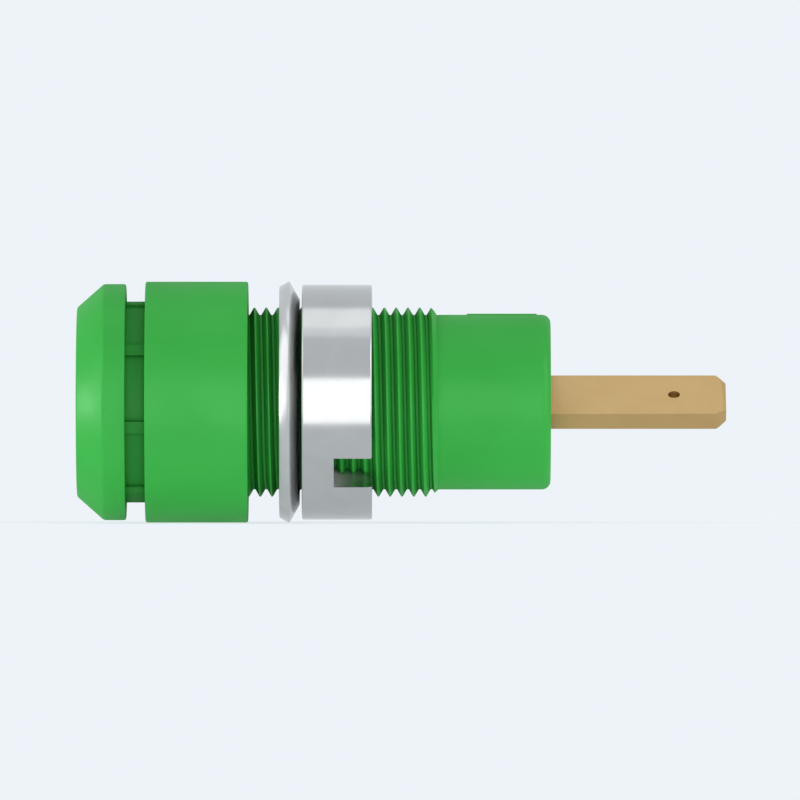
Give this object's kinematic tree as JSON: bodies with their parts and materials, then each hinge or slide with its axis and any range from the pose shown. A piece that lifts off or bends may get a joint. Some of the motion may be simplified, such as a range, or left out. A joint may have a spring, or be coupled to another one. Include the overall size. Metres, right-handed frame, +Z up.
{
  "type": "miniature banana socket",
  "caption": "Panel-mounted safety socket for miniature banana plugs: moulded threaded barrel, recessed contact, dished washer, slotted ring nut and flat rear tab.",
  "frame": {"origin": "on the axis, at the collar's rear face, which seats on the panel", "axes": "+X along the axis out of the rear towards the tab, +Z up, the plug goes in from -X"},
  "size_m": [0.0274, 0.0102, 0.0102],
  "materials": {
    "green_plastic": "satin moulded polyamide, green",
    "gold_plate": "matt gold plate on turned brass",
    "washer_nickel": "nickel plated spring steel",
    "nut_nickel": "turned and bright nickel plated"
  },
  "bodies": {
    "socket": {"insulating_body": "green_plastic", "contact_socket": "gold_plate"},
    "washer": {"spring_washer": "washer_nickel"},
    "nut": {"ring_nut": "nut_nickel"}
  },
  "joints": [
    {"name": "washer_slide", "type": "slide", "parent": "socket", "child": "washer", "axis": [1, 0, 0], "range_m": [-0.00125, 0.00525]},
    {"name": "nut_turn", "type": "hinge", "parent": "washer", "child": "nut", "pos_m": [0.0038, 0, 0], "axis": [1, 0, 0], "range_deg": [-900, 3780]}
  ],
  "couplings": [
    {"joint": "washer_slide", "follows": "nut_turn", "m_per_rad": 0.000079577}
  ]
}
